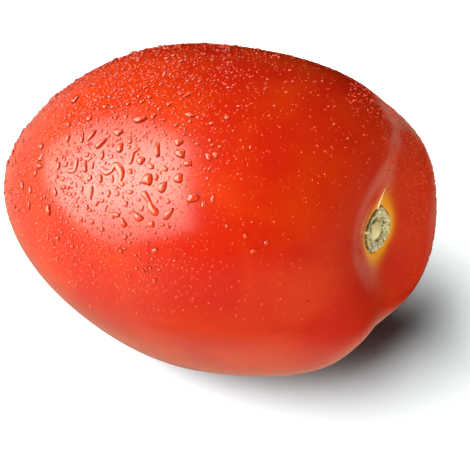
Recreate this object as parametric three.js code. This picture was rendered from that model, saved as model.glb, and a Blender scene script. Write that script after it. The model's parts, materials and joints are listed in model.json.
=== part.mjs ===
import * as THREE from 'three';

// A ripe plum tomato, picked without its stem, lying on its side.
// Millimetres and degrees, +Z up. The origin is on the surface that the fruit lies on, under its
// middle. +X runs along the fruit from its blossom tip to its stem end.

// Body: a rounded form about an axis, measured from the middle of its belly
const bellyRadius = 30;
const tipReach = 41.9; // from the belly to the blossom tip
const stemReach = 35.6; // from the belly to the stem scar
const tipTaper = 1.45; // over 1 draws the blossom end to a rounded point
const shoulderTaper = 0.43; // under 1 fills the shoulders out
const axisTilt = 11.9; // the stem end lies this much higher than the tip
const axisBend = -2.0; // sideways bow of the axis at the belly

// Cross-section: slightly oval, with three soft lobes. Angles turn from straight up to +Y
const ovalShare = 0.07;
const ovalAngle = 161;
const lobeShare = 0.045;
const lobeAngle = 56.5;

// Shoulder: it leans, and two grooves run over it and meet in the pit that holds the scar.
// Places along the fruit are angles in radians, from 0 at the tip to a half turn at the scar
const leanUp = 0.031; // how far the top of the shoulder sets back, per unit of height
const leanSide = -0.184;
const leanStart = 1.2;
const leanFull = 2.8;
const grooves = [
  { angle: 51.4, width: 7.8, depth: 2.5, start: 1.78, full: 2.86 },
  { angle: 181.2, width: 8.4, depth: 3.0, start: 2.14, full: 2.61 }
];
const pitDepth = 0.4;
const pitRadius = 6;
const pitAim = 0.2; // the sunken places move toward this share of the stem reach

// Stem scar: a corky disc with a raised plug, a trench and a low rim
const plugRadius = 1.5;
const plugHeight = 0.9;
const trenchRadius = 2.5;
const trenchDepth = 0.35;
const rimRadius = 3.7;
const rimWidth = 0.8;
const rimHeight = 0.45;

// Blossom end: the small dry point that the flower leaves
const nubRadius = 1.3;
const nubHeight = 0.6;

// The weight of the fruit presses this much of it flat where it rests
const restPress = 1.3;

// Grid: rings from the tip to the belly and from the belly to the scar, finer toward the scar
const tipRings = 24;
const stemRings = 30;
const scarGather = 1.25;
const around = 72;

const radians = THREE.MathUtils.degToRad;
const bell = (distance, width) => Math.exp(-((distance / width) ** 2));

// Sunken depth of the grooves at a place along, a radius and an angle about the axis: a bell
// curve of the distance from each groove's line, the two joined smoothly where they meet
function grooveDepth(along, radius, angle) {
  const deepest = Math.max(...grooves.map((groove) => groove.depth));
  let clear = 1;
  for (const groove of grooves) {
    const turn = angle - radians(groove.angle);
    const sideways = Math.cos(turn) > 0 ? radius * Math.sin(turn) : radius;
    const fade = THREE.MathUtils.smoothstep(along, groove.start, groove.full);
    clear *= 1 - (groove.depth / deepest) * fade * bell(sideways, groove.width);
  }
  return deepest * (1 - clear);
}

// Relief of the scar, outward, at a distance from its centre
function scarRelief(radius) {
  const plug = plugHeight * bell(radius, plugRadius);
  const trench = trenchDepth * bell(radius - trenchRadius, plugRadius / 2);
  const rim = rimHeight * bell(radius - rimRadius, rimWidth);
  return plug - trench + rim;
}

// A point of the skin. The angle along runs from 0 at the blossom tip through a quarter turn at
// the belly to a half turn at the scar; the radius is a power of its sine
function skinPoint(along, angle) {
  const stemSide = Math.cos(along) < 0;
  const taper = stemSide ? shoulderTaper : tipTaper;
  const swell =
    1 +
    ovalShare * Math.cos(2 * (angle - radians(ovalAngle))) +
    lobeShare * Math.cos(3 * (angle - radians(lobeAngle)));
  const radius = bellyRadius * Math.max(Math.sin(along), 0) ** taper * swell;
  const point = new THREE.Vector3(
    -Math.cos(along) * (stemSide ? stemReach : tipReach),
    radius * Math.sin(angle) + axisBend * Math.sin(along) ** 2,
    radius * Math.cos(angle)
  );
  let sink = grooveDepth(along, radius, angle);
  if (stemSide) {
    sink += pitDepth * bell(radius, pitRadius) - scarRelief(radius);
  } else {
    point.x -= nubHeight * bell(radius, nubRadius);
  }
  const aim = new THREE.Vector3(pitAim * stemReach, 0, 0).sub(point).normalize();
  point.addScaledVector(aim, sink);
  const lean = THREE.MathUtils.smoothstep(along, leanStart, leanFull);
  point.x -= lean * (leanUp * point.z + leanSide * point.y);
  return point;
}

// The angles along of all rings, without the two poles
function ringAngles() {
  const angles = [];
  for (let i = 1; i <= tipRings; i++) {
    angles.push((Math.PI / 2) * (i / tipRings) ** (1 / tipTaper));
  }
  for (let i = stemRings - 1; i > 0; i--) {
    const share = (i / stemRings) ** scarGather;
    angles.push(Math.PI - (Math.PI / 2) * share ** (1 / shoulderTaper));
  }
  return angles;
}

// Rings of points with a single point at each pole, all faces outward
function fruitGeometry() {
  const rings = ringAngles();
  const points = [skinPoint(0, 0)];
  for (const along of rings) {
    for (let k = 0; k < around; k++) {
      points.push(skinPoint(along, (2 * Math.PI * k) / around));
    }
  }
  points.push(skinPoint(Math.PI, 0));

  const faces = [];
  const last = points.length - 1;
  for (let k = 0; k < around; k++) {
    const next = (k + 1) % around;
    faces.push(0, 1 + k, 1 + next);
    for (let i = 0; i < rings.length - 1; i++) {
      const here = 1 + i * around;
      const there = here + around;
      faces.push(here + k, there + k, here + next);
      faces.push(here + next, there + k, there + next);
    }
    faces.push(last, last - around + next, last - around + k);
  }
  const geometry = new THREE.BufferGeometry().setFromPoints(layDown(points));
  geometry.setIndex(faces);
  geometry.computeVertexNormals();
  return geometry;
}

// Tilts the fruit as it lies, moves it over the origin and presses its lowest place flat
function layDown(points) {
  const tilt = new THREE.Matrix4().makeRotationY(-radians(axisTilt));
  points.forEach((point) => point.applyMatrix4(tilt));
  const box = new THREE.Box3().setFromPoints(points);
  const centre = box.getCenter(new THREE.Vector3());
  const shift = new THREE.Vector3(-centre.x, -centre.y, -box.min.z - restPress);
  for (const point of points) {
    point.add(shift);
    point.z = Math.max(point.z, 0);
  }
  return points;
}

const ripeSkin = new THREE.MeshStandardMaterial({
  name: 'ripe skin',
  color: 0xcc2e12,
  roughness: 0.28,
  metalness: 0
});

const tomato = new THREE.Mesh(fruitGeometry(), ripeSkin);
tomato.name = 'tomato';

const fruit = new THREE.Group();
fruit.add(tomato);

export default fruit;
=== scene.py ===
import json

import bpy
import numpy as np
from mathutils import Matrix, Vector

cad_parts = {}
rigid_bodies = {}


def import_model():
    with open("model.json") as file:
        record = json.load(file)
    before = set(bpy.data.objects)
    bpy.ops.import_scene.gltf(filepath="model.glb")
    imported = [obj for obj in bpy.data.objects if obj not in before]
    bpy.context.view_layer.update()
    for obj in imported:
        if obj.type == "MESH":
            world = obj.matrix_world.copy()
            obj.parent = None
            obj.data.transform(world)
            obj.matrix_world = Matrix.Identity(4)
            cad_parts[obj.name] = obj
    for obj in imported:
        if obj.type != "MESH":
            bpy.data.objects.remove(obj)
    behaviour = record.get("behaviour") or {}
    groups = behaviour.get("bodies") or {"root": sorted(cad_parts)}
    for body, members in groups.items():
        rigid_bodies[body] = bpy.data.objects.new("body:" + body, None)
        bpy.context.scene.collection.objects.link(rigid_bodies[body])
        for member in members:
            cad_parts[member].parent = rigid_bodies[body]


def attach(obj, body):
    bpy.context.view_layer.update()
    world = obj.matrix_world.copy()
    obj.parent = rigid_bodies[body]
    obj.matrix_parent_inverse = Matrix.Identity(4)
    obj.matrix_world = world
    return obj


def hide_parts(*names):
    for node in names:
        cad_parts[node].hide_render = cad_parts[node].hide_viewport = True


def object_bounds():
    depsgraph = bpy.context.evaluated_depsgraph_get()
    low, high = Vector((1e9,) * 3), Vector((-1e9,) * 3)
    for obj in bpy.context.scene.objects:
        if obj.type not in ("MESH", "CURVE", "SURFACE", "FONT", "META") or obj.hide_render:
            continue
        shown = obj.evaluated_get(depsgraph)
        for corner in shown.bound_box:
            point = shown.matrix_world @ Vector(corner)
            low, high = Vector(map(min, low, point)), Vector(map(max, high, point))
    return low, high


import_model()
cadLow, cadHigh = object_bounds()
mm = 0.001

# the fruit's own measures, in millimetres and degrees, about an axis from tip to scar
fruit = {
    "bellyRadius": 30.0,
    "tipReach": 41.9,
    "stemReach": 35.6,
    "tipTaper": 1.45,
    "shoulderTaper": 0.43,
    "axisTilt": 11.9,
    "axisBend": -2.0,
    "ovalShare": 0.07,
    "ovalAngle": 161,
    "lobeShare": 0.045,
    "lobeAngle": 56.5,
    "leanUp": 0.031,
    "leanSide": -0.184,
    "leanStart": 1.2,
    "leanFull": 2.8,
    "grooves": (  # angle, width, depth, and the places along where it starts and is full
        (51.4, 7.8, 2.5, 1.78, 2.86),
        (181.2, 8.4, 3.0, 2.14, 2.61),
    ),
    "pitDepth": 0.4,
    "pitRadius": 6.0,
    "pitAim": 0.2,
    "nubRadius": 1.3,
    "nubHeight": 0.6,
    "restPress": 1.3,
}


def bell(distance, width):
    return np.exp(-((distance / width) ** 2))


def easeStep(x, low, high):
    t = np.clip((x - low) / (high - low), 0, 1)
    return t * t * (3 - 2 * t)


def axisRadius(along, angle):  # radius: a power of the sine of along, with an oval and three lobes
    taper = np.where(np.cos(along) < 0, fruit["shoulderTaper"], fruit["tipTaper"])
    swell = 1 + fruit["ovalShare"] * np.cos(2 * (angle - np.radians(fruit["ovalAngle"])))
    swell = swell + fruit["lobeShare"] * np.cos(3 * (angle - np.radians(fruit["lobeAngle"])))
    return fruit["bellyRadius"] * np.maximum(np.sin(along), 0) ** taper * swell


def grooveDepth(along, radius, angle):  # bell curves of the distance from each groove's line
    deepest = max(groove[2] for groove in fruit["grooves"])
    clear = 1.0
    for degrees, width, depth, start, full in fruit["grooves"]:
        turn = angle - np.radians(degrees)
        sideways = np.where(np.cos(turn) > 0, radius * np.sin(turn), radius)
        share = depth / deepest * easeStep(along, start, full)
        clear = clear * (1 - share * bell(sideways, width))
    return deepest * (1 - clear)


# skin surface: x is minus the cosine of along times the reach, y and z are the radius turned by
# angle. Grooves, pit and nub are bell curves, and the shoulder leans by a smooth step
def skinShape(along, angle):
    along, angle = np.broadcast_arrays(along, angle)
    stemSide = np.cos(along) < 0
    reach = np.where(stemSide, fruit["stemReach"], fruit["tipReach"])
    radius = axisRadius(along, angle)
    nub = np.where(stemSide, 0, fruit["nubHeight"] * bell(radius, fruit["nubRadius"]))
    x = -np.cos(along) * reach - nub
    y = radius * np.sin(angle) + fruit["axisBend"] * np.sin(along) ** 2
    z = radius * np.cos(angle)
    points = np.stack([x, y, z], axis=-1)
    sink = grooveDepth(along, radius, angle)
    sink = sink + np.where(stemSide, fruit["pitDepth"] * bell(radius, fruit["pitRadius"]), 0)
    aim = np.array([fruit["pitAim"] * fruit["stemReach"], 0, 0]) - points
    aim = aim / np.linalg.norm(aim, axis=-1, keepdims=True)
    points = points + aim * sink[..., None]
    lean = easeStep(along, fruit["leanStart"], fruit["leanFull"])
    setBack = fruit["leanUp"] * points[..., 2] + fruit["leanSide"] * points[..., 1]
    points[..., 0] = points[..., 0] - lean * setBack
    return points


tilt = np.radians(fruit["axisTilt"])
tiltTurn = np.array([[np.cos(tilt), 0, np.sin(tilt)], [0, 1, 0], [-np.sin(tilt), 0, np.cos(tilt)]])
restGrid = {"along": 300, "around": 360}


def restShift():  # moves the tilted fruit over the origin, low enough to be pressed flat
    along = np.linspace(0, np.pi, restGrid["along"])[:, None]
    angle = np.linspace(0, 2 * np.pi, restGrid["around"], endpoint=False)[None, :]
    points = skinShape(along, angle).reshape(-1, 3) @ tiltTurn
    low, high = points.min(axis=0), points.max(axis=0)
    middle = (np.array(cadLow) + np.array(cadHigh)) / 2 / mm
    return np.array([
        middle[0] - (low[0] + high[0]) / 2,
        middle[1] - (low[1] + high[1]) / 2,
        -low[2] - fruit["restPress"],
    ])


fruitShift = restShift()


def layDown(points):  # from the fruit's own axis to the frame, in metres, flat where it rests
    placed = points @ tiltTurn + fruitShift
    placed[..., 2] = np.maximum(placed[..., 2], 0)
    return placed * mm


noiseSize = 4096
noiseSteps = np.array([7919, 104729, 1299709])  # primes that spread the lattice over the values


# smooth noise from -1 to 1: seeded values at the corners of a lattice, blended between them
def softNoise(places, spacing, seed):
    table = np.random.default_rng(seed).uniform(-1, 1, noiseSize)
    cell = np.asarray(places) / spacing
    corner = np.floor(cell).astype(np.int64)
    part = cell - corner
    part = part * part * (3 - 2 * part)
    total = 0
    for offset in np.ndindex(2, 2, 2):
        key = (corner + np.array(offset)) * noiseSteps
        index = (key[..., 0] ^ key[..., 1] ^ key[..., 2]) % noiseSize
        weight = np.where(np.array(offset) == 1, part, 1 - part).prod(axis=-1)
        total = total + table[index] * weight
    return total


def unit(vectors):
    return vectors / np.maximum(np.linalg.norm(vectors, axis=-1, keepdims=True), 1e-12)


# places, outward normals and slopes of the skin, by small differences of its formula
def skinFrame(along, angle):
    small = 1e-5
    place = skinShape(along, angle)
    byAlong = (skinShape(along + small, angle) - skinShape(along - small, angle)) / (2 * small)
    byAngle = (skinShape(along, angle + small) - skinShape(along, angle - small)) / (2 * small)
    normal = unit(np.cross(byAlong, byAngle))
    return place, normal, byAlong, byAngle


# points at offsets in millimetres from places on the skin: right and up on it, and out of it. Right
# is the direction toward, laid on the skin and then turned
def onSkin(along, angle, toward, turn, right, up, out):
    normal, byAlong, byAngle = skinFrame(along, angle)[1:]
    first = unit(toward - normal * (toward * normal).sum(-1, keepdims=True))
    second = np.cross(normal, first)
    sideways = first * np.cos(turn)[..., None] + second * np.sin(turn)[..., None]
    upward = np.cross(normal, sideways)
    step = sideways[..., None, :] * right[..., None] + upward[..., None, :] * up[..., None]
    aa, bb = (byAlong * byAlong).sum(-1)[..., None], (byAngle * byAngle).sum(-1)[..., None]
    ab = (byAlong * byAngle).sum(-1)[..., None]
    sa = (step * byAlong[..., None, :]).sum(-1)
    sb = (step * byAngle[..., None, :]).sum(-1)
    spread = aa * bb - ab * ab
    moveAlong, moveAngle = (sa * bb - sb * ab) / spread, (sb * aa - sa * ab) / spread
    body = skinShape(along[..., None] + moveAlong, angle[..., None] + moveAngle)
    return body + normal[..., None, :] * out[..., None]


# camera: seen from the front, right and above, as the photograph is. Degrees and millimetres
camera = {
    "azimuth": 25.14,
    "elevation": 44.0,
    "distance": 281.2,
    "aside": 4.6,
    "rise": -5.35,
    "lens": 120,
    "sensor": 36,
    "pixels": 470,
    "nearest": 0.01,  # clipping distances in metres
    "farthest": 20,
}


def viewAxes(azimuth, elevation):  # unit vectors back toward the viewer, right and up
    turn, lift = np.radians(azimuth), np.radians(elevation)
    back = Vector((np.sin(turn) * np.cos(lift), -np.cos(turn) * np.cos(lift), np.sin(lift)))
    right = Vector((np.cos(turn), np.sin(turn), 0))
    return back, right, back.cross(right)


def cameraPlace():
    back, right, up = viewAxes(camera["azimuth"], camera["elevation"])
    place = Vector(fruitShift) + back * camera["distance"]
    return place + right * camera["aside"] + up * camera["rise"]


def makeCamera():
    data = bpy.data.cameras.new("photoCamera")
    data.lens = camera["lens"]
    data.sensor_width = camera["sensor"]
    data.clip_start, data.clip_end = camera["nearest"], camera["farthest"]
    holder = bpy.data.objects.new("photoCamera", data)
    bpy.context.scene.collection.objects.link(holder)
    back, right, up = viewAxes(camera["azimuth"], camera["elevation"])
    place = cameraPlace()
    holder.matrix_world = Matrix((
        (right.x, up.x, back.x, place.x * mm),
        (right.y, up.y, back.y, place.y * mm),
        (right.z, up.z, back.z, place.z * mm),
        (0, 0, 0, 1),
    ))
    bpy.context.scene.camera = holder


makeCamera()
print("camera placed")


def ringGrid(rings, around):  # faces of a surface of rings closed by a pole at each end
    here = 1 + np.arange(rings - 1)[:, None] * around
    k = np.arange(around)[None, :]
    following = (k + 1) % around
    quads = np.stack([here + k, here + around + k, here + around + following, here + following], -1)
    last = rings * around + 1
    k, following = k[0], following[0]
    first = np.stack([np.zeros_like(k), 1 + k, 1 + following], -1)
    final = np.stack([np.full_like(k, last), last - around + following, last - around + k], -1)
    return quads.reshape(-1, 4), np.concatenate([first, final])


def makeMesh(name, points, quads, triangles):
    mesh = bpy.data.meshes.new(name)
    corners = np.concatenate([quads.ravel(), triangles.ravel()]).astype(np.int32)
    starts = np.arange(len(quads)) * 4
    starts = np.concatenate([starts, len(quads) * 4 + np.arange(len(triangles)) * 3])
    mesh.vertices.add(len(points))
    mesh.vertices.foreach_set("co", np.asarray(points, dtype=np.float32).ravel())
    mesh.loops.add(len(corners))
    mesh.loops.foreach_set("vertex_index", corners)
    mesh.polygons.add(len(starts))
    mesh.polygons.foreach_set("loop_start", starts.astype(np.int32))
    mesh.update(calc_edges=True)
    mesh.validate()
    mesh.shade_smooth()
    piece = bpy.data.objects.new(name, mesh)
    bpy.context.scene.collection.objects.link(piece)
    return piece


def setPointValues(piece, name, values):
    layer = piece.data.attributes.new(name, "FLOAT", "POINT")
    layer.data.foreach_set("value", np.asarray(values, dtype=np.float32).ravel())


# stem scar: a corky disc. Sizes in millimetres, angles about the fruit's axis as on the skin
scar = {
    "radius": 4.45,
    "peak": 0.55,  # pointed upper end
    "peakAngle": 32,
    "peakWidth": 0.3,
    "wave": 0.05,
    "waves": ((5, 1.0, 1.0), (8, 0.7, 2.2), (13, 0.5, 0.0)),  # waves round it, share, and start
    "faceRadius": 3.0,  # its facing is measured on the skin this far from its middle
    "plugRadius": 1.5,
    "plugHeight": 0.9,
    "trenchRadius": 2.5,
    "trenchDepth": 0.35,
    "rimRadius": 3.7,
    "rimWidth": 0.8,
    "rimHeight": 0.45,
    "pitDepth": 0.3,
    "crackDepth": 0.16,
    "edgeSink": 0.12,
    "thickness": 0.5,
    "underShare": 0.94,  # the cork's underside is this much narrower
    "rings": 70,
    "around": 240,
    "sharpAngle": 70,
}

# marks in the cork: sizes in millimetres, and between which values of the noise each one grows
corkMarks = {
    "plugEdge": (1.35, 2.0),  # the smooth plug ends between these radii
    "plugWander": 0.25,
    "roughSizes": (0.55, 0.25),
    "fineSize": 0.2,
    "roughHeight": 0.07,
    "plugRoughHeight": 0.02,
    "pitRing": 2.35,
    "pitRingWidth": 0.5,
    "pitWander": 0.15,
    "pitSize": 0.5,
    "pitFineShare": 0.3,
    "pitLimits": (-0.05, 0.4),
    "crackSize": 0.8,
    "crackWander": 0.25,
    "crackLimits": (0.03, 0.14),
    "crackPatch": 1.6,
    "crackPatchLimits": (-0.2, 0.3),
    "crackShade": 0.9,
    "speckSize": 0.32,
    "speckLimits": (0.35, 0.6),
    "speckShade": 0.7,
    "borderWidth": 0.2,
    "borderSize": 0.6,
    "borderLimits": (-0.8, -0.2),
    "borderDepth": 0.14,
    "fallFrom": 0.93,
    "paleRadius": 3.1,  # one pale spot on the rim
    "paleWidth": 0.55,
    "paleAngle": 205,
    "paleReach": 0.22,
    "seed": 21,
}


def alongNear(radius, angle):  # place along on the stem side where the skin has this radius
    taper = fruit["shoulderTaper"]
    halfway = np.array(0.75 * np.pi)
    belly = axisRadius(halfway, angle) / np.sin(halfway) ** taper
    return np.pi - np.arcsin(np.minimum(radius / belly, 1) ** (1 / taper))


def nearScar(radius, angle):  # point of the skin at a distance from the scar's centre
    return skinShape(alongNear(radius, angle), angle)


def scarOutward():  # direction that the scar faces
    ring = nearScar(np.full(4, scar["faceRadius"]), np.arange(4) * np.pi / 2)
    return unit(np.cross(ring[1] - ring[3], ring[0] - ring[2]))


def scarEdge(angle):  # outline of the scar: a circle, waved, with one pointed end
    turn = np.angle(np.exp(1j * (angle - np.radians(scar["peakAngle"]))))
    waves = sum(share * np.sin(count * angle + start) for count, share, start in scar["waves"])
    return scar["radius"] + scar["wave"] * waves + scar["peak"] * bell(turn, scar["peakWidth"])


def corkForm(radius):  # height over the skin: plug, trench and rim as bell curves
    height = scar["plugHeight"] * bell(radius, scar["plugRadius"])
    height = height - scar["trenchDepth"] * bell(radius - scar["trenchRadius"], scar["plugRadius"] / 2)
    return height + scar["rimHeight"] * bell(radius - scar["rimRadius"], scar["rimWidth"])


# shares of pits in a ring, cracks where noise is near zero, specks, and a border along the edge:
# bell curves of the radius times smooth steps of noise
def growMarks(flat, radius, edge, rough, fine, plug):
    marks, seed = corkMarks, corkMarks["seed"]
    ring = bell(radius - marks["pitRing"] - marks["pitWander"] * rough, marks["pitRingWidth"])
    pits = softNoise(flat, marks["pitSize"], seed + 3) + marks["pitFineShare"] * fine
    pits = ring * easeStep(pits, *marks["pitLimits"])
    veins = np.abs(softNoise(flat, marks["crackSize"], seed + 4) + marks["crackWander"] * fine)
    patches = easeStep(softNoise(flat, marks["crackPatch"], seed + 5), *marks["crackPatchLimits"])
    cracks = (1 - easeStep(veins, *marks["crackLimits"])) * (1 - plug) * patches
    specks = easeStep(softNoise(flat, marks["speckSize"], seed + 6), *marks["speckLimits"]) * (1 - plug)
    # a dark border along the edge: painted shade in the gap between cork and skin
    border = bell(edge - radius - marks["borderWidth"], marks["borderWidth"])
    broken = easeStep(softNoise(flat, marks["borderSize"], seed + 7), *marks["borderLimits"])
    return pits, cracks, specks, border * broken


# relief of the scar over the skin, how dark it is painted and how smooth it is, at a share of the way to
# its edge: the cork's form, roughened by noise, less its random pits, cracks, specks and border. The
# darkness is painted shade in the pits, cracks and the gap along the border, with the cork's own dark
# specks
def scarRelief(share, angle):
    edge = scarEdge(angle)
    radius = share * edge
    marks, seed = corkMarks, corkMarks["seed"]
    flat = np.stack([radius * np.cos(angle), radius * np.sin(angle), np.zeros_like(radius)], axis=-1)
    coarse, lesser = marks["roughSizes"]
    rough = softNoise(flat, coarse, seed) + softNoise(flat, lesser, seed + 1) / 2
    fine = softNoise(flat, marks["fineSize"], seed + 2)
    plug = 1 - easeStep(radius + marks["plugWander"] * rough, *marks["plugEdge"])
    pits, cracks, specks, border = growMarks(flat, radius, edge, rough, fine, plug)
    # painted shade in the pits, cracks and the border gap, with the cork's own dark specks
    dark = np.clip(pits + marks["crackShade"] * cracks + marks["speckShade"] * specks + border, 0, 1)
    height = corkForm(radius)
    height = height + (1 - plug) * marks["roughHeight"] * rough + plug * marks["plugRoughHeight"] * fine
    height = height - scar["pitDepth"] * pits - scar["crackDepth"] * np.maximum(cracks, specks)
    height = height - marks["borderDepth"] * border
    fall = easeStep(share, marks["fallFrom"], 1)
    return height * (1 - fall) - scar["edgeSink"] * fall, dark, plug


def paleSpot(radius, angle):  # bell curves of the radius and of the angle
    turn = np.angle(np.exp(1j * (angle - np.radians(corkMarks["paleAngle"]))))
    across = bell(radius - corkMarks["paleRadius"], corkMarks["paleWidth"])
    return across * bell(turn, corkMarks["paleReach"])


# skin grid: rings gathered toward the scar
skinGrid = {"tipRings": 90, "stemRings": 130, "around": 400, "scarGather": 1.3}
farRadius = 99  # stands for the radius on the side of the fruit that a mark isn't on
tipMarkWidth = 0.8


def ringPlaces(tipRings, stemRings, gather):  # places along, spread evenly by radius
    tip = np.arange(1, tipRings + 1) / tipRings
    stem = np.arange(stemRings - 1, 0, -1) / stemRings
    tipSide = np.pi / 2 * tip ** (1 / fruit["tipTaper"])
    stemSide = np.pi - np.pi / 2 * stem ** (gather / fruit["shoulderTaper"])
    return np.concatenate([tipSide, stemSide])


scarBed = {"depth": 0.9, "slope": 0.5}  # hollow in the skin that the scar's cork fills


# rings of the skin's formula with a pole at each end, sunk by a smooth step into a bed under the scar
def makeSkin():
    along = ringPlaces(skinGrid["tipRings"], skinGrid["stemRings"], skinGrid["scarGather"])[:, None]
    angle = np.arange(skinGrid["around"])[None, :] * 2 * np.pi / skinGrid["around"]
    stemSide, radius = np.cos(along) < 0, axisRadius(along, angle)
    scarRadius = np.where(stemSide, radius, farRadius)
    bed = scarBed["depth"] * easeStep(scarEdge(angle) - scarRadius, 0, scarBed["slope"])
    body = skinShape(along, angle) - scarOutward() * bed[..., None]
    tip = skinShape(np.array([0.0]), np.array([0.0]))
    middle = skinShape(np.array([np.pi]), np.array([0.0])) - scarOutward() * scarBed["depth"]
    points = np.concatenate([tip, body.reshape(-1, 3), middle])
    skin = makeMesh("tomatoSkin", layDown(points), *ringGrid(len(along), skinGrid["around"]))
    ripening = haloShare(scarRadius, angle)
    setPointValues(skin, "ripening", np.concatenate([[0], ripening.ravel(), [1]]))
    dry = bell(np.where(stemSide, farRadius, radius), tipMarkWidth)
    setPointValues(skin, "dryTip", np.concatenate([[1], dry.ravel(), [0]]))
    return skin


# unripe ring round the scar: a bell curve outside the scar's edge, wider where the angles say
halo = {"width": 1.25, "bottom": 1.9, "bottomAngle": 205, "top": 1.9, "topAngle": 34, "reach": 0.55}


def haloShare(radius, angle):
    low = np.angle(np.exp(1j * (angle - np.radians(halo["bottomAngle"]))))
    high = np.angle(np.exp(1j * (angle - np.radians(halo["topAngle"]))))
    width = halo["width"] + halo["bottom"] * bell(low, halo["reach"])
    width = width + halo["top"] * bell(high, halo["reach"])
    return bell(np.maximum(radius - scarEdge(angle), 0), width)


def newMaterial(name):
    material = bpy.data.materials.new(name)
    material.use_nodes = True
    return material, material.node_tree.nodes, material.node_tree.links


def addMath(nodes, links, operation, first, second=None, third=None):
    node = nodes.new("ShaderNodeMath")
    node.operation = operation
    for socket, value in zip(node.inputs, (first, second, third)):
        if isinstance(value, (int, float)):
            socket.default_value = value
        elif value is not None:
            links.new(value, socket)
    return node.outputs[0]


def attributeValue(nodes, name):
    node = nodes.new("ShaderNodeAttribute")
    node.attribute_name = name
    return node.outputs["Fac"]


def mixColors(nodes, links, share, first, second):
    node = nodes.new("ShaderNodeMix")
    node.data_type = "RGBA"
    links.new(share, node.inputs["Factor"])
    for socket, value in ((node.inputs["A"], first), (node.inputs["B"], second)):
        if isinstance(value, tuple):
            socket.default_value = value
        else:
            links.new(value, socket)
    return node.outputs["Result"]


def objectNoise(nodes, links, scale, detail=2, distortion=0):  # random pattern fixed to a piece
    place = nodes.new("ShaderNodeTexCoord")
    noise = nodes.new("ShaderNodeTexNoise")
    noise.inputs["Scale"].default_value = scale
    noise.inputs["Detail"].default_value = detail
    noise.inputs["Distortion"].default_value = distortion
    links.new(place.outputs["Object"], noise.inputs["Vector"])
    return noise.outputs[0]


def twoTones(nodes, links, share, limits, first, second):  # a colour fades to another over the limits
    ramp = nodes.new("ShaderNodeValToRGB")
    for element, position, color in zip(ramp.color_ramp.elements, limits, (first, second)):
        element.position = position
        element.color = color
    links.new(share, ramp.inputs[0])
    return ramp.outputs[0]


def addBump(nodes, links, shader, height, look):
    bump = nodes.new("ShaderNodeBump")
    bump.inputs["Strength"].default_value = look["bumpStrength"]
    bump.inputs["Distance"].default_value = look["bumpHeight"] * mm
    links.new(height, bump.inputs["Height"])
    links.new(bump.outputs[0], shader.inputs["Normal"])


# look of the skin: deep red and orange patches with flecks, and amber and yellow round the scar
skinLook = {
    "crimson": (0.3, 0.008, 0.001, 1),
    "orange": (0.34, 0.019, 0.001, 1),
    "amber": (0.38, 0.085, 0.002, 1),
    "yellow": (0.5, 0.19, 0.004, 1),
    "dry": (0.16, 0.06, 0.015, 1),
    "patchScale": 75,
    "patchDetail": 3,
    "patchDistortion": 0.6,
    "patchLimits": (0.36, 0.64),
    "fleckScale": 900,
    "fleckShare": 0.4,
    "yellowPower": 3,
    "roughness": 0.2,
    "specular": 0.65,
    "bumpStrength": 0.25,
    "bumpHeight": 0.03,
}


def skinColor(nodes, links, flecks):
    look = skinLook
    patches = objectNoise(
        nodes, links, look["patchScale"], look["patchDetail"], look["patchDistortion"]
    )
    tones = twoTones(nodes, links, patches, look["patchLimits"], look["crimson"], look["orange"])
    fleckShare = addMath(
        nodes, links, "MULTIPLY_ADD", flecks, 2 * look["fleckShare"], -look["fleckShare"]
    )
    mottled = mixColors(nodes, links, fleckShare, tones, look["orange"])
    ripening = attributeValue(nodes, "ripening")
    amber = mixColors(nodes, links, ripening, mottled, look["amber"])
    closer = addMath(nodes, links, "POWER", ripening, look["yellowPower"])
    yellow = mixColors(nodes, links, closer, amber, look["yellow"])
    return mixColors(nodes, links, attributeValue(nodes, "dryTip"), yellow, look["dry"])


def skinMaterial():
    material, nodes, links = newMaterial("ripeSkin")
    shader = nodes["Principled BSDF"]
    flecks = objectNoise(nodes, links, skinLook["fleckScale"])
    links.new(skinColor(nodes, links, flecks), shader.inputs["Base Color"])
    shader.inputs["Roughness"].default_value = skinLook["roughness"]
    shader.inputs["Specular IOR Level"].default_value = skinLook["specular"]
    addBump(nodes, links, shader, flecks, skinLook)
    return material


skin = makeSkin()
skin.data.materials.append(skinMaterial())
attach(skin, "root")
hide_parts("tomato")
print("skin made")


# look of the dry cork: two browns in a fine grain, a smoother plug, a pale spot, dark specks, and painted
# shade in its pits, cracks and the gap along its border
corkLook = {
    "brown": (0.23, 0.17, 0.065, 1),
    "straw": (0.46, 0.41, 0.215, 1),
    "plug": (0.42, 0.34, 0.17, 1),
    "pale": (0.62, 0.5, 0.42, 1),
    # painted shade in pits, cracks and the border gap, and the colour of dark specks
    "dark": (0.055, 0.035, 0.01, 1),
    "grainScale": 2600,
    "grainDetail": 5,
    "grainLimits": (0.32, 0.62),
    "roughness": 0.8,
    "specular": 0.25,
    "bumpStrength": 0.5,
    "bumpHeight": 0.08,
}


def corkMaterial():
    material, nodes, links = newMaterial("dryCork")
    shader = nodes["Principled BSDF"]
    grain = objectNoise(nodes, links, corkLook["grainScale"], corkLook["grainDetail"])
    color = twoTones(
        nodes, links, grain, corkLook["grainLimits"], corkLook["brown"], corkLook["straw"]
    )
    for name in ("plug", "pale", "dark"):
        color = mixColors(nodes, links, attributeValue(nodes, name), color, corkLook[name])
    links.new(color, shader.inputs["Base Color"])
    shader.inputs["Roughness"].default_value = corkLook["roughness"]
    shader.inputs["Specular IOR Level"].default_value = corkLook["specular"]
    addBump(nodes, links, shader, grain, corkLook)
    return material


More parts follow.
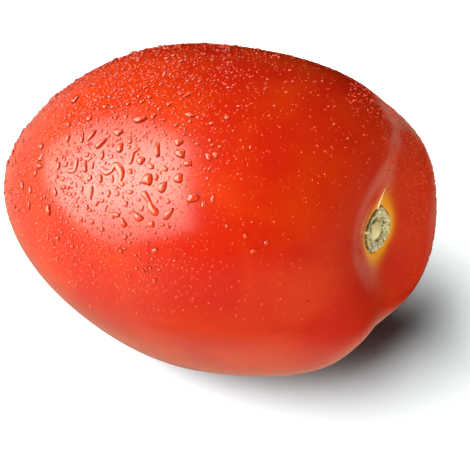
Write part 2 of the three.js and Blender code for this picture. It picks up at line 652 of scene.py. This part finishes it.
# rings of the scar's relief over the skin, closed by one ring below them with its own middle
def makeScar():
    share = (np.arange(1, scar["rings"] + 1) / scar["rings"])[:, None]
    angle = (np.arange(scar["around"]) * 2 * np.pi / scar["around"])[None, :]
    middle = nearScar(np.array([1e-3]), np.array([0.0]))[0]
    outward, radius = scarOutward(), share * scarEdge(angle)
    relief, dark, plug = scarRelief(share, angle)
    top = nearScar(radius, angle) + outward * relief[..., None]
    under = nearScar(scar["underShare"] * scarEdge(angle), angle) - outward * scar["thickness"]
    body = np.concatenate([top, under]).reshape(-1, 3)
    crown = middle + outward * scar["plugHeight"]
    points = np.concatenate([[crown], body, [middle - outward * scar["thickness"]]])
    quads, triangles = ringGrid(scar["rings"] + 1, scar["around"])
    piece = makeMesh("stemScar", layDown(points), quads[:, ::-1], triangles[:, ::-1])
    piece.data.set_sharp_from_angle(angle=np.radians(scar["sharpAngle"]))
    unmarked = np.zeros(scar["around"] + 1)  # the underside and its middle
    marks = {"dark": (0, dark), "plug": (1, plug), "pale": (0, paleSpot(radius, angle))}
    for name, (centre, values) in marks.items():
        setPointValues(piece, name, np.concatenate([[centre], values.ravel(), unmarked]))
    piece.data.materials.append(corkMaterial())
    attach(piece, "root")


# closed bead along a line on the skin: rounded ends, half an ellipse above and flat below
def skinBead(along, angle, widths, form):
    rings, around, sink = form["rings"], form["around"], form["sink"]
    knots = np.linspace(0, 1, len(along))
    steps = (1 - np.cos(np.linspace(0, np.pi, rings + 2)[1:-1])) / 2
    lineAlong, lineAngle, lineWidth = (
        smoothThrough(knots, values, steps) for values in (along, angle, widths)
    )
    place = skinShape(lineAlong, lineAngle)
    heading = unit(np.gradient(place, steps, axis=0))
    ends = skinShape(along[[0, -1]], angle[[0, -1]])
    run = np.concatenate([[0], np.cumsum(np.linalg.norm(np.diff(place, axis=0), axis=-1))])
    run = run + np.linalg.norm(place[0] - ends[0])
    whole = run[-1] + np.linalg.norm(place[-1] - ends[1])
    near = np.minimum(run, whole - run) / np.maximum(lineWidth / 2, 1e-6)
    half = lineWidth / 2 * np.sqrt(1 - np.maximum(1 - near, 0) ** 2)
    bearing = np.arange(around) * 2 * np.pi / around
    up = -half[:, None] * np.cos(bearing)
    out = np.maximum(form["height"] * half[:, None] * np.sin(bearing), 0) - sink
    body = onSkin(lineAlong, lineAngle, heading, np.zeros(rings), np.zeros_like(up), up, out)
    points = np.concatenate([ends[:1], body.reshape(-1, 3), ends[1:]])
    # 1 at the merged drop's sides: where painted shade darkens it toward its edge
    foot = np.concatenate([[1], np.tile(np.abs(np.cos(bearing)), rings), [1]])
    return points, *ringGrid(rings, around), foot


def smoothThrough(knots, values, steps):  # cubic through the values, with slopes by differences
    values = np.asarray(values, dtype=float)
    slopes = np.gradient(values, knots)
    index = np.clip(np.searchsorted(knots, steps) - 1, 0, len(knots) - 2)
    gap = knots[index + 1] - knots[index]
    t = (steps - knots[index]) / gap
    start, end = values[index], values[index + 1]
    bend = (t - 1) * t * gap * ((t - 1) * slopes[index] + t * slopes[index + 1])
    return start + (end - start) * t * t * (3 - 2 * t) + bend


# tail: the thin pale split that runs up from the scar, in the bottom of the upper groove
tail = {
    "radii": (4.3, 5.2, 6.6, 8.6),
    "angles": (19, 18, 23, 30),
    "widths": (0.78, 0.64, 0.42, 0.05),
    "height": 0.5,
    "sink": 0.03,
    "rings": 40,
    "around": 12,
    "rose": (0.62, 0.3, 0.12, 1),
    "cream": (0.72, 0.46, 0.27, 1),
    "grainScale": 1500,
    "grainLimits": (0.3, 0.6),
    "roughness": 0.55,
}


def tailMaterial():
    material, nodes, links = newMaterial("paleSplit")
    shader = nodes["Principled BSDF"]
    grain = objectNoise(nodes, links, tail["grainScale"])
    color = twoTones(nodes, links, grain, tail["grainLimits"], tail["rose"], tail["cream"])
    links.new(color, shader.inputs["Base Color"])
    shader.inputs["Roughness"].default_value = tail["roughness"]
    return material


def makeTail():
    angle = np.radians(tail["angles"])
    along = alongNear(np.array(tail["radii"]), angle)
    points, quads, triangles = skinBead(along, angle, np.array(tail["widths"]), tail)[:3]
    piece = makeMesh("scarTail", layDown(points), quads, triangles)
    piece.data.materials.append(tailMaterial())
    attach(piece, "root")


makeScar()
makeTail()
print("scar made")


# look of the water: a clear dome tinted red, mixed with an opaque body painted the red of the skin seen
# through it. Toward its foot the red turns dark as painted shade along the drop's rim and the gleam fades,
# and no drop casts a shadow
water = {
    "clearTint": (1.0, 0.5, 0.4, 1),
    # red painted on the drop's body in place of the skin seen through the water
    "paintedSkinRed": (0.42, 0.032, 0.003, 1),
    # painted shade: the drop's red turns dark toward its foot, between these shares of the way there
    "paintedRimShadeColor": (0.04, 0.002, 0.001, 1),
    "paintedRimShadeFrom": 0.7,
    "paintedRimShadeFull": 0.97,
    "bodyShare": 0.7,
    "gleam": 0.95,
    "gleamPower": 5,
    "roughness": 0.05,
    "bend": 1.45,  # index of refraction, over water's own so that the gleams read at this size
}


def waterMaterial():
    material, nodes, links = newMaterial("clearWater")
    clear = nodes["Principled BSDF"]
    body = nodes.new("ShaderNodeBsdfPrincipled")
    # the clear part is tinted red, which dims the skin's gloss seen through the drop
    clear.inputs["Base Color"].default_value = water["clearTint"]
    clear.inputs["Transmission Weight"].default_value = 1
    # the drop's red darkens toward its foot as painted shade along its rim, where the gleam also fades
    foot, limits = attributeValue(nodes, "foot"), (water["paintedRimShadeFrom"], water["paintedRimShadeFull"])
    tint = twoTones(nodes, links, foot, limits, water["paintedSkinRed"], water["paintedRimShadeColor"])
    links.new(tint, body.inputs["Base Color"])
    fade = addMath(nodes, links, "POWER", foot, water["gleamPower"])
    gleam = addMath(nodes, links, "MULTIPLY_ADD", fade, -water["gleam"], water["gleam"])
    for shader in (clear, body):
        shader.inputs["Roughness"].default_value = water["roughness"]
        shader.inputs["IOR"].default_value = water["bend"]
        links.new(gleam, shader.inputs["Specular IOR Level"])
    drop = mixShaders(nodes, links, water["bodyShare"], clear.outputs[0], body.outputs[0])
    path = nodes.new("ShaderNodeLightPath")
    unseen = nodes.new("ShaderNodeBsdfTransparent")
    shown = mixShaders(nodes, links, path.outputs["Is Shadow Ray"], drop, unseen.outputs[0])
    links.new(shown, nodes["Material Output"].inputs["Surface"])
    return material


def mixShaders(nodes, links, share, first, second):
    node = nodes.new("ShaderNodeMixShader")
    if isinstance(share, float):
        node.inputs[0].default_value = share
    else:
        links.new(share, node.inputs[0])
    links.new(first, node.inputs[1])
    links.new(second, node.inputs[2])
    return node.outputs[0]


# grids that search the skin for a pixel, and that hold one scattered drop at most in each cell
pictureGrid = {"tipRings": 330, "stemRings": 330, "gather": 1.3, "around": 1100}
dropCells = {"tipRings": 150, "stemRings": 190, "gather": 1.3, "around": 460}


def skinInPicture():  # points of a fine grid that face the camera, with where they show in pixels
    back, right, up = (np.array(axis) for axis in viewAxes(camera["azimuth"], camera["elevation"]))
    grid = pictureGrid
    along = ringPlaces(grid["tipRings"], grid["stemRings"], grid["gather"])[:, None]
    angle = np.linspace(0, 2 * np.pi, grid["around"], endpoint=False)[None, :]
    along, angle = (part.ravel() for part in np.broadcast_arrays(along, angle))
    place, normal = skinFrame(along, angle)[:2]
    offset = place @ tiltTurn + fruitShift - np.array(cameraPlace())
    facing = ((normal @ tiltTurn) * offset).sum(-1) < 0
    place, along, angle, offset = place[facing], along[facing], angle[facing], offset[facing]
    scale = camera["pixels"] * camera["lens"] / camera["sensor"] / -(offset @ back)
    across = camera["pixels"] / 2 + scale * (offset @ right)
    down = camera["pixels"] / 2 - scale * (offset @ up)
    return along, angle, scale, across, down


def skinUnder(shown, pixels):  # places on the skin nearest to pixels, and the pixels to a millimetre
    along, angle, scale, across, down = shown
    nearest = [np.argmin(np.hypot(across - x, down - y)) for x, y in pixels]
    return along[nearest], angle[nearest], scale[nearest]


dropForm = {
    "waves": ((2, 0.5), (3, 1.0), (4, 0.5), (5, 0.3)),  # waves round the foot, and their share
    "crown": 0.8,  # under 1 flattens the top
    "sharpAngle": 70,
}


# shape of one drop from its middle to its foot: half an ellipsoid, flattened on top, with a wavy
# foot that is sunk a little into the skin
def dropLens(values, along, angle, toward, turn, length, width, rng):
    count, rings, around = len(along), values["rings"], values["around"]
    lift = np.arange(1, rings + 1) / rings * np.pi / 2
    bearing = np.arange(around) * 2 * np.pi / around
    outline = np.ones((count, around))
    for waves, size in dropForm["waves"]:
        phase = rng.uniform(0, 2 * np.pi, (count, 1))
        outline = outline + values["wobble"] * size * np.cos(waves * bearing + phase)
    spread = np.sin(lift)[None, :, None] * outline[:, None, :]
    right = spread * np.cos(bearing) * length[:, None, None] / 2
    up = spread * np.sin(bearing) * width[:, None, None] / 2
    tall = values["height"] * np.sqrt(length * width) / 2
    out = tall[:, None, None] * np.cos(lift)[None, :, None] ** dropForm["crown"] + np.zeros_like(right)
    sink = values["sink"]
    right = np.concatenate([np.zeros((count, 1)), right.reshape(count, -1), np.zeros((count, 1))], 1)
    up = np.concatenate([np.zeros((count, 1)), up.reshape(count, -1), np.zeros((count, 1))], 1)
    out = np.concatenate([tall[:, None], out.reshape(count, -1), np.full((count, 1), -sink)], 1) - sink
    # 0 at the drop's middle and 1 at its foot: how far painted shade darkens it there
    foot = np.concatenate([[0], np.repeat(np.sin(lift), around), [1]])
    quads, triangles = ringGrid(rings, around)
    start = np.arange(count)[:, None, None] * right.shape[1]
    points = onSkin(along, angle, toward, turn, right, up, out).reshape(-1, 3)
    return points, (quads + start).reshape(-1, 4), (triangles + start).reshape(-1, 3), np.tile(foot, count)


# scatters drops: a cell of the skin takes one at most, more likely where it is wet. Gives their
# places along and about, their sizes, their stretch and their turn
def scatterDrops(values, rng):
    grid, columns, count = dropCells, dropCells["around"], values["count"]
    edges = ringPlaces(grid["tipRings"], grid["stemRings"], grid["gather"])
    first, last = edges[:-1][:, None], edges[1:][:, None]
    middle = (np.arange(columns)[None, :] + 0.5) * 2 * np.pi / columns
    place, normal, byAlong, byAngle = skinFrame((first + last) / 2, middle)
    area = np.linalg.norm(np.cross(byAlong, byAngle), axis=-1) * (last - first) * 2 * np.pi / columns
    chance = (area * wetness(values, place, normal)).ravel()
    picks = rng.choice(chance.size, count, replace=False, p=chance / chance.sum())
    row, column = picks // columns, picks % columns
    along = edges[row] + (edges[row + 1] - edges[row]) * rng.uniform(0, 1, count)
    angle = (column + rng.uniform(0, 1, count)) * 2 * np.pi / columns
    size = values["size"] * np.exp(values["spread"] * rng.standard_normal(count))
    stretch = np.exp(values["stretch"] * rng.uniform(-1, 1, count) / 2)
    return along, angle, size, stretch, rng.uniform(0, 2 * np.pi, count)


# where the skin is wet, in millimetres, and how the painted shade at the feet of the tiny drops pales away
# from there
wetting = {
    "middle": (-3, -20, 25),  # where the drops are thickest, about the fruit's axis
    "width": 13,
    "scarGap": (5.5, 7.5),  # radii between which the dry skin round the scar ends
    "lobeFrom": (20, 4),  # the wet lobe behind the scar starts and is full here, along and across
    "lobeFull": (28, 14),
    # the painted shade at a tiny drop's foot is weaker far from the wet middle
    "farPaintedRimShade": 0.4,  # how dark the foot of a tiny drop is far from the wet middle
    "paintedRimShadeWidth": 19.5,
}


# share of the skin that drops cover: smooth steps make it most on top and toward the tip, less
# toward the stem end and none near the scar, with a bell curve round the wet middle and patches
def wetness(values, place, normal):
    framed = place @ tiltTurn + fruitShift
    lift = (normal @ tiltTurn)[..., 2]
    top = easeStep(lift, values["upFrom"], values["upFull"])
    dry = easeStep(framed[..., 0], values["fadeFrom"], values["fadeTo"])
    share = 1 - (1 - values["stemShare"]) * dry
    scarGap = easeStep(np.hypot(place[..., 1], place[..., 2]), *wetting["scarGap"])
    scarGap = np.minimum(scarGap + (place[..., 0] < 0), 1)
    lobe = 1
    for side in (0, 1):
        lobe = lobe * easeStep(framed[..., side], wetting["lobeFrom"][side], wetting["lobeFull"][side])
    share = np.maximum(share, lobe * values["lobeShare"])
    share = share * (1 + values["spotBoost"] * nearWet(place, wetting["width"]))
    patches = 1 + values["patchy"] * softNoise(framed, values["patchSize"], values["seed"])
    return top * share * scarGap * np.maximum(patches, 0)


def nearWet(place, width):  # bell curve of the distance from the wet middle
    return bell(np.linalg.norm(place - np.array(wetting["middle"]), axis=-1), width)


# the larger drops that stand out: place in the picture, length, width and turn on it, in pixels
# and degrees
largeDrops = (
    (148.4, 179.3, 14, 11.5, 80), (162.3, 187.6, 13.5, 9, 55), (178, 177.8, 11.5, 9.8, 85),
    (192, 198, 13, 10, 10), (120, 147.5, 12, 8, 80), (100.5, 144, 15, 7, 30),
    (140, 160, 9.5, 9, 60), (85, 169, 8.6, 7.4, 90), (100, 178.4, 9.6, 6.5, 110),
    (89.6, 177.8, 7.6, 6, 60), (58.6, 165.2, 9, 6, 80), (151.6, 166.4, 7.6, 6, 120),
    (165.4, 168.6, 7.6, 6, 110), (157.6, 150.5, 17, 7, 92), (118, 132.5, 11, 9, 160),
    (139, 119.5, 15, 9, 175), (180, 153, 12, 10, 150), (188, 163.5, 9, 8, 160),
    (137.3, 217.4, 11.5, 8.6, 150), (124.6, 223.8, 10, 7, 115), (168, 214.4, 15, 7, 45),
    (151, 225, 7.4, 7, 0), (126.4, 203.7, 6.4, 6, 90), (168.8, 201.4, 5.8, 5, 70),
    (142, 208.8, 6.6, 4.6, 60), (131, 192.2, 7, 5, 160), (109, 193.3, 8.4, 4.6, 95),
    (81.6, 188.7, 8.4, 4.4, 92), (91.3, 192.2, 15, 3.8, 85), (117.2, 194, 5.8, 4.8, 90),
    (116, 187.6, 5, 4.8, 0), (112.6, 179, 8.6, 4, 95), (131, 172, 7, 5.6, 130),
    (111.4, 156.6, 5.2, 5, 0), (102.2, 155, 10, 5.4, 75), (130.4, 141, 7, 6, 60),
    (76.4, 148, 6.6, 4.6, 130), (62, 156.6, 5.4, 4.6, 120), (68.4, 137, 13, 4.4, 82),
    (82, 137, 15, 5, 88), (92.5, 135.4, 14, 5, 48), (92.8, 165, 8, 3.8, 80),
    (190.3, 115.4, 12, 6, 140), (105, 106.4, 8, 6, 165), (146, 87, 7, 5, 0),
    (116, 75.7, 6.5, 5, 0), (142.4, 101, 6.5, 6, 90), (114.7, 97.4, 5.5, 4.5, 0),
    (126, 116, 8, 5, 90), (159.6, 109.4, 6, 5, 80), (226.3, 117, 7, 5, 140),
    (211.3, 123.7, 5, 4.5, 0), (208.3, 157.4, 10, 5, 120), (216.6, 155.2, 8, 5, 120),
    (246, 236, 7, 5, 100), (253, 252, 9, 5, 40), (203, 205, 8, 5, 70), (213, 199, 9, 4.5, 80),
)

# drops that ran together: points along each in the picture, with the width there, in pixels
mergedDrops = (
    ((143, 191, 8), (147, 197, 7), (149, 203, 5), (151, 208, 8), (155, 213, 9), (157, 216, 6)),
    ((100.5, 167, 5), (106, 172, 7), (112, 170, 6), (115, 165, 7), (119.5, 169.5, 9), (121.5, 176, 7),
     (119, 180.5, 5), (121, 184, 5), (124.5, 187, 5)),
    ((76.5, 157.5, 6), (76, 164, 6.5), (74, 170, 6), (67, 171, 5)),
    ((140, 147.5, 5), (134, 152.5, 5.5), (130.5, 158, 6), (129, 164, 6)),
)
mergedForm = {"height": 0.62, "sink": 0.03, "rings": 40, "around": 20, "clearance": 1.3}

# scattered drops: how many are tried, their shape, and where the skin is wet with them
tinyDrop = {
    "apart": False,
    "spread": 0.32,
    "sink": 0.01,
    "stretch": 0.25,
    "wobble": 0.04,
    "rings": 2,
    "upFrom": -0.3,
    "upFull": 0.25,
    "fadeFrom": 2,
    "fadeTo": 20,
    "patchSize": 4,
}
dropKinds = {
    "dropsLarge": {
        "count": 90,
        "size": 1.05,  # middle size, in millimetres across
        "apart": True,  # keeps clear of its own kind too
        "spread": 0.32,
        "height": 0.62,  # share of the half width
        "sink": 0.03,
        "stretch": 0.7,
        "wobble": 0.1,
        "rings": 6,
        "around": 24,
        "upFrom": 0.1,
        "upFull": 0.6,
        "fadeFrom": -2,
        "fadeTo": 10,
        "stemShare": 0.02,
        "lobeShare": 0,
        "patchy": 0.5,
        "patchSize": 9,
        "spotBoost": 8,
        "seed": 11,
    },
    "dropsSmall": {
        "count": 1500,
        "size": 0.52,
        "apart": True,
        "spread": 0.28,
        "height": 0.8,
        "sink": 0.02,
        "stretch": 0.5,
        "wobble": 0.08,
        "rings": 4,
        "around": 12,
        "upFrom": -0.05,
        "upFull": 0.4,
        "fadeFrom": 0,
        "fadeTo": 17,
        "stemShare": 0.06,
        "lobeShare": 0.1,
        "patchy": 0.4,
        "patchSize": 6,
        "spotBoost": 24,
        "seed": 12,
    },
    "dropsMist": {
        **tinyDrop,
        "count": 6200,
        "size": 0.23,
        "height": 0.85,
        "around": 7,
        "stemShare": 0.3,
        "lobeShare": 4,
        "patchy": 0.8,
        "spotBoost": 5,
        "seed": 13,
    },
    "dropsFine": {
        **tinyDrop,
        "count": 7500,
        "size": 0.2,
        "height": 0.9,
        "around": 6,
        "stemShare": 0.5,
        "lobeShare": 9,
        "patchy": 0.5,
        "spotBoost": 30,
        "seed": 14,
    },
}


def joinParts(parts):  # several closed forms as one mesh
    points, quads, triangles, paintedRimShades = [], [], [], []
    start = 0
    for place, fourSided, threeSided, foot in parts:
        points.append(place)
        quads.append(fourSided + start)
        triangles.append(threeSided + start)
        paintedRimShades.append(foot)
        start += len(place)
    return [np.concatenate(group) for group in (points, quads, triangles, paintedRimShades)]


def seenDrops(values, shown, rng):  # the drops seen in the picture, their places and their sizes
    drops = np.array(largeDrops)
    along, angle, scale = skinUnder(shown, drops[:, :2])
    length, width, turn = drops[:, 2] / scale, drops[:, 3] / scale, np.radians(drops[:, 4])
    right = np.array(viewAxes(camera["azimuth"], camera["elevation"])[1]) @ tiltTurn.T
    toward = np.tile(right, (len(drops), 1))
    parts = [dropLens(values, along, angle, toward, turn, length, width, rng)]
    places, sizes = [skinShape(along, angle)], [length]
    for drop in mergedDrops:
        line = np.array(drop)
        along, angle, scale = skinUnder(shown, line[:, :2])
        widths = line[:, 2] / scale
        parts.append(skinBead(along, angle, widths, mergedForm))
        places.append(skinShape(along, angle))
        sizes.append(widths * mergedForm["clearance"])
    return parts, np.concatenate(places), np.concatenate(sizes)


def makeDrops():
    paint, shown = waterMaterial(), skinInPicture()
    takenPlace, takenSize = np.zeros((0, 3)), np.zeros(0)
    for name, values in dropKinds.items():
        rng = np.random.default_rng(values["seed"])
        along, angle, size, stretch, turn = scatterDrops(values, rng)
        parts = []
        if name == "dropsLarge":
            parts, takenPlace, takenSize = seenDrops(values, shown, rng)
        place = skinShape(along, angle)
        free = clearOf(place, size * stretch, takenPlace, takenSize)
        if values["apart"]:
            free &= clearOfEarlier(place, size)
        along, angle, size, stretch, turn, place = (
            part[free] for part in (along, angle, size, stretch, turn, place)
        )
        toward = skinFrame(along, angle)[2]
        parts.append(dropLens(values, along, angle, toward, turn, size * stretch, size / stretch, rng))
        points, quads, triangles, foot = joinParts(parts)
        if not values["apart"]:
            # the painted shade at the feet of tiny drops is kept strongest near the wet middle
            shy = wetting["farPaintedRimShade"]
            foot = foot * (shy + (1 - shy) * nearWet(points, wetting["paintedRimShadeWidth"]))
        piece = makeMesh(name, layDown(points), quads, triangles)
        piece.data.set_sharp_from_angle(angle=np.radians(dropForm["sharpAngle"]))
        setPointValues(piece, "foot", foot)
        piece.data.materials.append(paint)
        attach(piece, "root")
        takenPlace = np.concatenate([takenPlace, place])
        takenSize = np.concatenate([takenSize, size * stretch])
        print(name, "made:", len(along), "drops,", len(quads) * 2 + len(triangles), "triangles")


def clearOf(place, size, otherPlace, otherSize):  # true where a drop touches none of the others
    gap = np.linalg.norm(place[:, None] - otherPlace[None], axis=-1)
    return (gap > (size[:, None] + otherSize[None]) / 2).all(axis=1)


def clearOfEarlier(place, size):  # true where a drop touches none that comes before it
    gap = np.linalg.norm(place[:, None] - place[None], axis=-1)
    touches = gap < (size[:, None] + size[None]) / 2
    return ~np.tril(touches, -1).any(axis=1)


makeDrops()


# stage: a pale floor, and a pale card that only shows mirrored in the skin. Millimetres and degrees
stage = {
    "floorHalf": 400,
    "floorDrop": 0.1,
    "cardDrop": 0.05,
    "cardHalf": (45, 34),  # oval close round the fruit, along and across
    "cardSoft": 9,  # width over which the oval fades
    "cardStart": 12,
    "cardReach": 1500,
    "cardRings": 90,
    "cardAround": 180,
    # azimuths where it is pale further out, with their fade, and where that starts and ends
    "cardFans": (
        (-128, 0, 24, 0, 3000),
        (121, 142, 14, 66, 105),
        (140, 156, 10, 66, 138),
        (155, 172, 8, 66, 270),
    ),
    "fanFade": 0.1,  # share of its reach over which a fan ends
    "fanStart": 0.3,
    "floorColor": (0.33, 0.35, 0.35, 1),
    "floorRoughness": 0.9,
    "cardColor": (0.45, 0.4, 0.29, 1),
}


def floorMaterial():
    material, nodes = newMaterial("paleFloor")[:2]
    shader = nodes["Principled BSDF"]
    shader.inputs["Base Color"].default_value = stage["floorColor"]
    shader.inputs["Roughness"].default_value = stage["floorRoughness"]
    shader.inputs["Specular IOR Level"].default_value = 0
    return material


def makeFloor():
    half, z = stage["floorHalf"] * mm, -stage["floorDrop"] * mm
    corners = np.array([(-half, -half, z), (half, -half, z), (half, half, z), (-half, half, z)])
    floor = makeMesh("floor", corners, np.array([[0, 1, 2, 3]]), np.zeros((0, 3), int))
    floor.data.materials.append(floorMaterial())
    floor.visible_glossy = False


# 1 where the card is pale, fading to 0 where it is black: an oval close round the fruit, and fans
# beyond it, each with smooth steps at its sides, its start and its end
def cardShine(radius, azimuth):
    along, across = stage["cardHalf"]
    oval = 1 / np.hypot(np.sin(azimuth) / along, np.cos(azimuth) / across)
    shine = 1 - easeStep(radius, oval - stage["cardSoft"], oval + stage["cardSoft"])
    for start, end, fade, near, far in stage["cardFans"]:
        aside = np.abs(np.angle(np.exp(1j * (azimuth - np.radians(start + end) / 2))))
        half, soft = np.radians(end - start) / 2, np.radians(fade) / 2
        fan = 1 - easeStep(aside, half - soft, half + soft)
        fan = fan * (1 - easeStep(radius, (1 - stage["fanFade"]) * far, (1 + stage["fanFade"]) * far))
        if near > 0:
            step = stage["fanStart"] * near
            fan = fan * easeStep(radius, near - step, near + step)
        shine = np.maximum(shine, fan)
    return shine


def makeCard():  # rings round the middle, each further out than the last
    rings, around = stage["cardRings"], stage["cardAround"]
    azimuth = (np.arange(around) * 2 * np.pi / around)[None, :]
    radius = np.geomspace(stage["cardStart"], stage["cardReach"], rings)[:, None]
    x, y = radius * np.sin(azimuth), -radius * np.cos(azimuth)
    points = np.stack([x, y, np.full_like(x, -stage["cardDrop"])], axis=-1).reshape(-1, 3) * mm
    here = np.arange(rings - 1)[:, None] * around
    k = np.arange(around)[None, :]
    following = (k + 1) % around
    quads = np.stack([here + k, here + around + k, here + around + following, here + following], -1)
    card = makeMesh("mirrorCard", points, quads.reshape(-1, 4), np.zeros((0, 3), int))
    setPointValues(card, "shine", cardShine(radius, azimuth))
    card.data.materials.append(cardMaterial())
    card.visible_camera = False
    card.visible_diffuse = False
    card.visible_shadow = False
    card.visible_transmission = False


def cardMaterial():  # glows evenly, so that no shadow shows in its mirror image
    material, nodes, links = newMaterial("paleCard")
    glow = nodes.new("ShaderNodeEmission")
    color = mixColors(nodes, links, attributeValue(nodes, "shine"), (0, 0, 0, 1), stage["cardColor"])
    links.new(color, glow.inputs["Color"])
    links.new(glow.outputs[0], nodes["Material Output"].inputs["Surface"])
    nodes.remove(nodes["Principled BSDF"])
    material.cycles.emission_sampling = "NONE"
    return material


# soft lights: where they stand, in degrees and millimetres, their size, their power in watts, and
# what they fall on. What a light doesn't say is as in plainLight
plainLight = {
    "aside": 0,
    "rise": 0,
    "roll": 0,
    "color": (1, 1, 1),
    "mirrored": False,
    "fallsOn": "fruit",
}
lights = {
    "window": {
        "azimuth": -50,
        "elevation": 38,
        "distance": 500,
        "aside": -124,
        "rise": -158,
        "roll": -28,
        "size": (940, 900),
        "power": 27,
        "color": (1.0, 0.95, 0.84),  # warm daylight
        "mirrored": True,
        "middle": (0.5, 0.74),  # brightest place, as a share of the width and height
        "spot": (0.3, 0.55),  # half widths of the bright place
        "rim": 0.22,  # brightness left far from it
        "corner": (0.7, 0.8),  # height less width: where the dark corner starts and is full
    },
    "overhead": {
        "azimuth": -20,
        "elevation": 74,
        "distance": 900,
        "size": (600, 600),
        "power": 4,
    },
    "front": {
        "azimuth": 60,
        "elevation": 12,
        "distance": 700,
        "size": (700, 300),
        "power": 6,
    },
    "backLow": {
        "azimuth": -150,
        "elevation": 14,
        "distance": 800,
        "size": (600, 200),
        "power": 1.5,
    },
    "behindDrops": {
        "azimuth": -170,
        "elevation": 52,
        "distance": 900,
        "size": (900, 350),
        "power": 6,
        "mirrored": True,
        "fallsOn": "drops",
    },
    "aboveFloor": {
        "azimuth": -52,
        "elevation": 48,
        "distance": 900,
        "size": (1230, 1230),
        "power": 105,
        "fallsOn": "floor",
    },
}

lit = {  # the pieces that a light falls on, by how their names start
    "fruit": ("tomatoSkin", "stemScar", "scarTail", "drops"),
    "drops": ("drops",),
    "floor": ("floor",),
}


def placeLight(lamp, values):  # facing the middle, then moved aside and up, and rolled
    back, right, up = viewAxes(values["azimuth"], values["elevation"])
    place = back * values["distance"]
    place = place + right * values["aside"] + up * values["rise"]
    roll = np.radians(values["roll"])
    across = right * np.cos(roll) + up * np.sin(roll)
    over = up * np.cos(roll) - right * np.sin(roll)
    lamp.matrix_world = Matrix((
        (across.x, over.x, back.x, place.x * mm),
        (across.y, over.y, back.y, place.y * mm),
        (across.z, over.z, back.z, place.z * mm),
        (0, 0, 0, 1),
    ))


def makeLight(name, values):
    data = bpy.data.lights.new(name, "AREA")
    data.shape = "RECTANGLE"
    data.size, data.size_y = values["size"][0] * mm, values["size"][1] * mm
    data.energy = values["power"]
    data.color = values["color"]
    lamp = bpy.data.objects.new(name, data)
    bpy.context.scene.collection.objects.link(lamp)
    placeLight(lamp, values)
    lamp.visible_glossy = values["mirrored"]
    data.cycles.use_multiple_importance_sampling = values["mirrored"]
    receivers = bpy.data.collections.new(name + "FallsOn")
    for piece in bpy.data.objects:
        if piece.type == "MESH" and piece.name.startswith(lit[values["fallsOn"]]):
            receivers.objects.link(piece)
    lamp.light_linking.receiver_collection = receivers
    if "spot" in values:
        softenRim(data, values)


# brightness falls from the middle to the rim as a bell curve, and one corner is cut off
def softenRim(data, values):
    data.use_nodes = True
    nodes, links = data.node_tree.nodes, data.node_tree.links
    place = nodes.new("ShaderNodeNewGeometry")
    parts = nodes.new("ShaderNodeSeparateXYZ")
    links.new(place.outputs["Parametric"], parts.inputs[0])
    squares = []
    for side, middle, spot in zip(("X", "Y"), values["middle"], values["spot"]):
        offset = addMath(nodes, links, "SUBTRACT", parts.outputs[side], middle)
        offset = addMath(nodes, links, "DIVIDE", offset, spot)
        squares.append(addMath(nodes, links, "MULTIPLY", offset, offset))
    total = addMath(nodes, links, "ADD", squares[0], squares[1])
    falling = addMath(nodes, links, "EXPONENT", addMath(nodes, links, "MULTIPLY", total, -1))
    strength = addMath(nodes, links, "MULTIPLY_ADD", falling, 1 - values["rim"], values["rim"])
    corner = addMath(nodes, links, "SUBTRACT", parts.outputs["Y"], parts.outputs["X"])
    cut = nodes.new("ShaderNodeMapRange")
    cut.interpolation_type = "SMOOTHSTEP"
    cut.inputs["From Min"].default_value, cut.inputs["From Max"].default_value = values["corner"]
    cut.inputs["To Min"].default_value, cut.inputs["To Max"].default_value = 1, 0
    links.new(corner, cut.inputs[0])
    strength = addMath(nodes, links, "MULTIPLY", strength, cut.outputs[0])
    links.new(strength, nodes["Emission"].inputs["Strength"])


# room light: even and soft, nearly dark where it mirrors, and white where the camera sees it
room = {"strength": 0.06, "mirrored": 0.01, "seen": 1.0}


def makeWorld():
    world = bpy.data.worlds.new("studio")
    world.use_nodes = True
    nodes, links = world.node_tree.nodes, world.node_tree.links
    nodes.clear()
    path = nodes.new("ShaderNodeLightPath")
    pale = nodes.new("ShaderNodeBackground")
    pale.inputs["Color"].default_value = (1, 1, 1, 1)
    out = nodes.new("ShaderNodeOutputWorld")
    darker = addMath(
        nodes, links, "MULTIPLY_ADD",
        path.outputs["Is Glossy Ray"], room["mirrored"] - room["strength"], room["strength"],
    )
    strength = addMath(
        nodes, links, "MULTIPLY_ADD",
        path.outputs["Is Camera Ray"], room["seen"] - room["strength"], darker,
    )
    links.new(strength, pale.inputs["Strength"])
    links.new(pale.outputs[0], out.inputs["Surface"])
    bpy.context.scene.world = world


makeFloor()
makeCard()
for lightName, lightValues in lights.items():
    makeLight(lightName, {**plainLight, **lightValues})
makeWorld()
bpy.context.scene.view_settings.view_transform = "Standard"
print("stage and lights made")
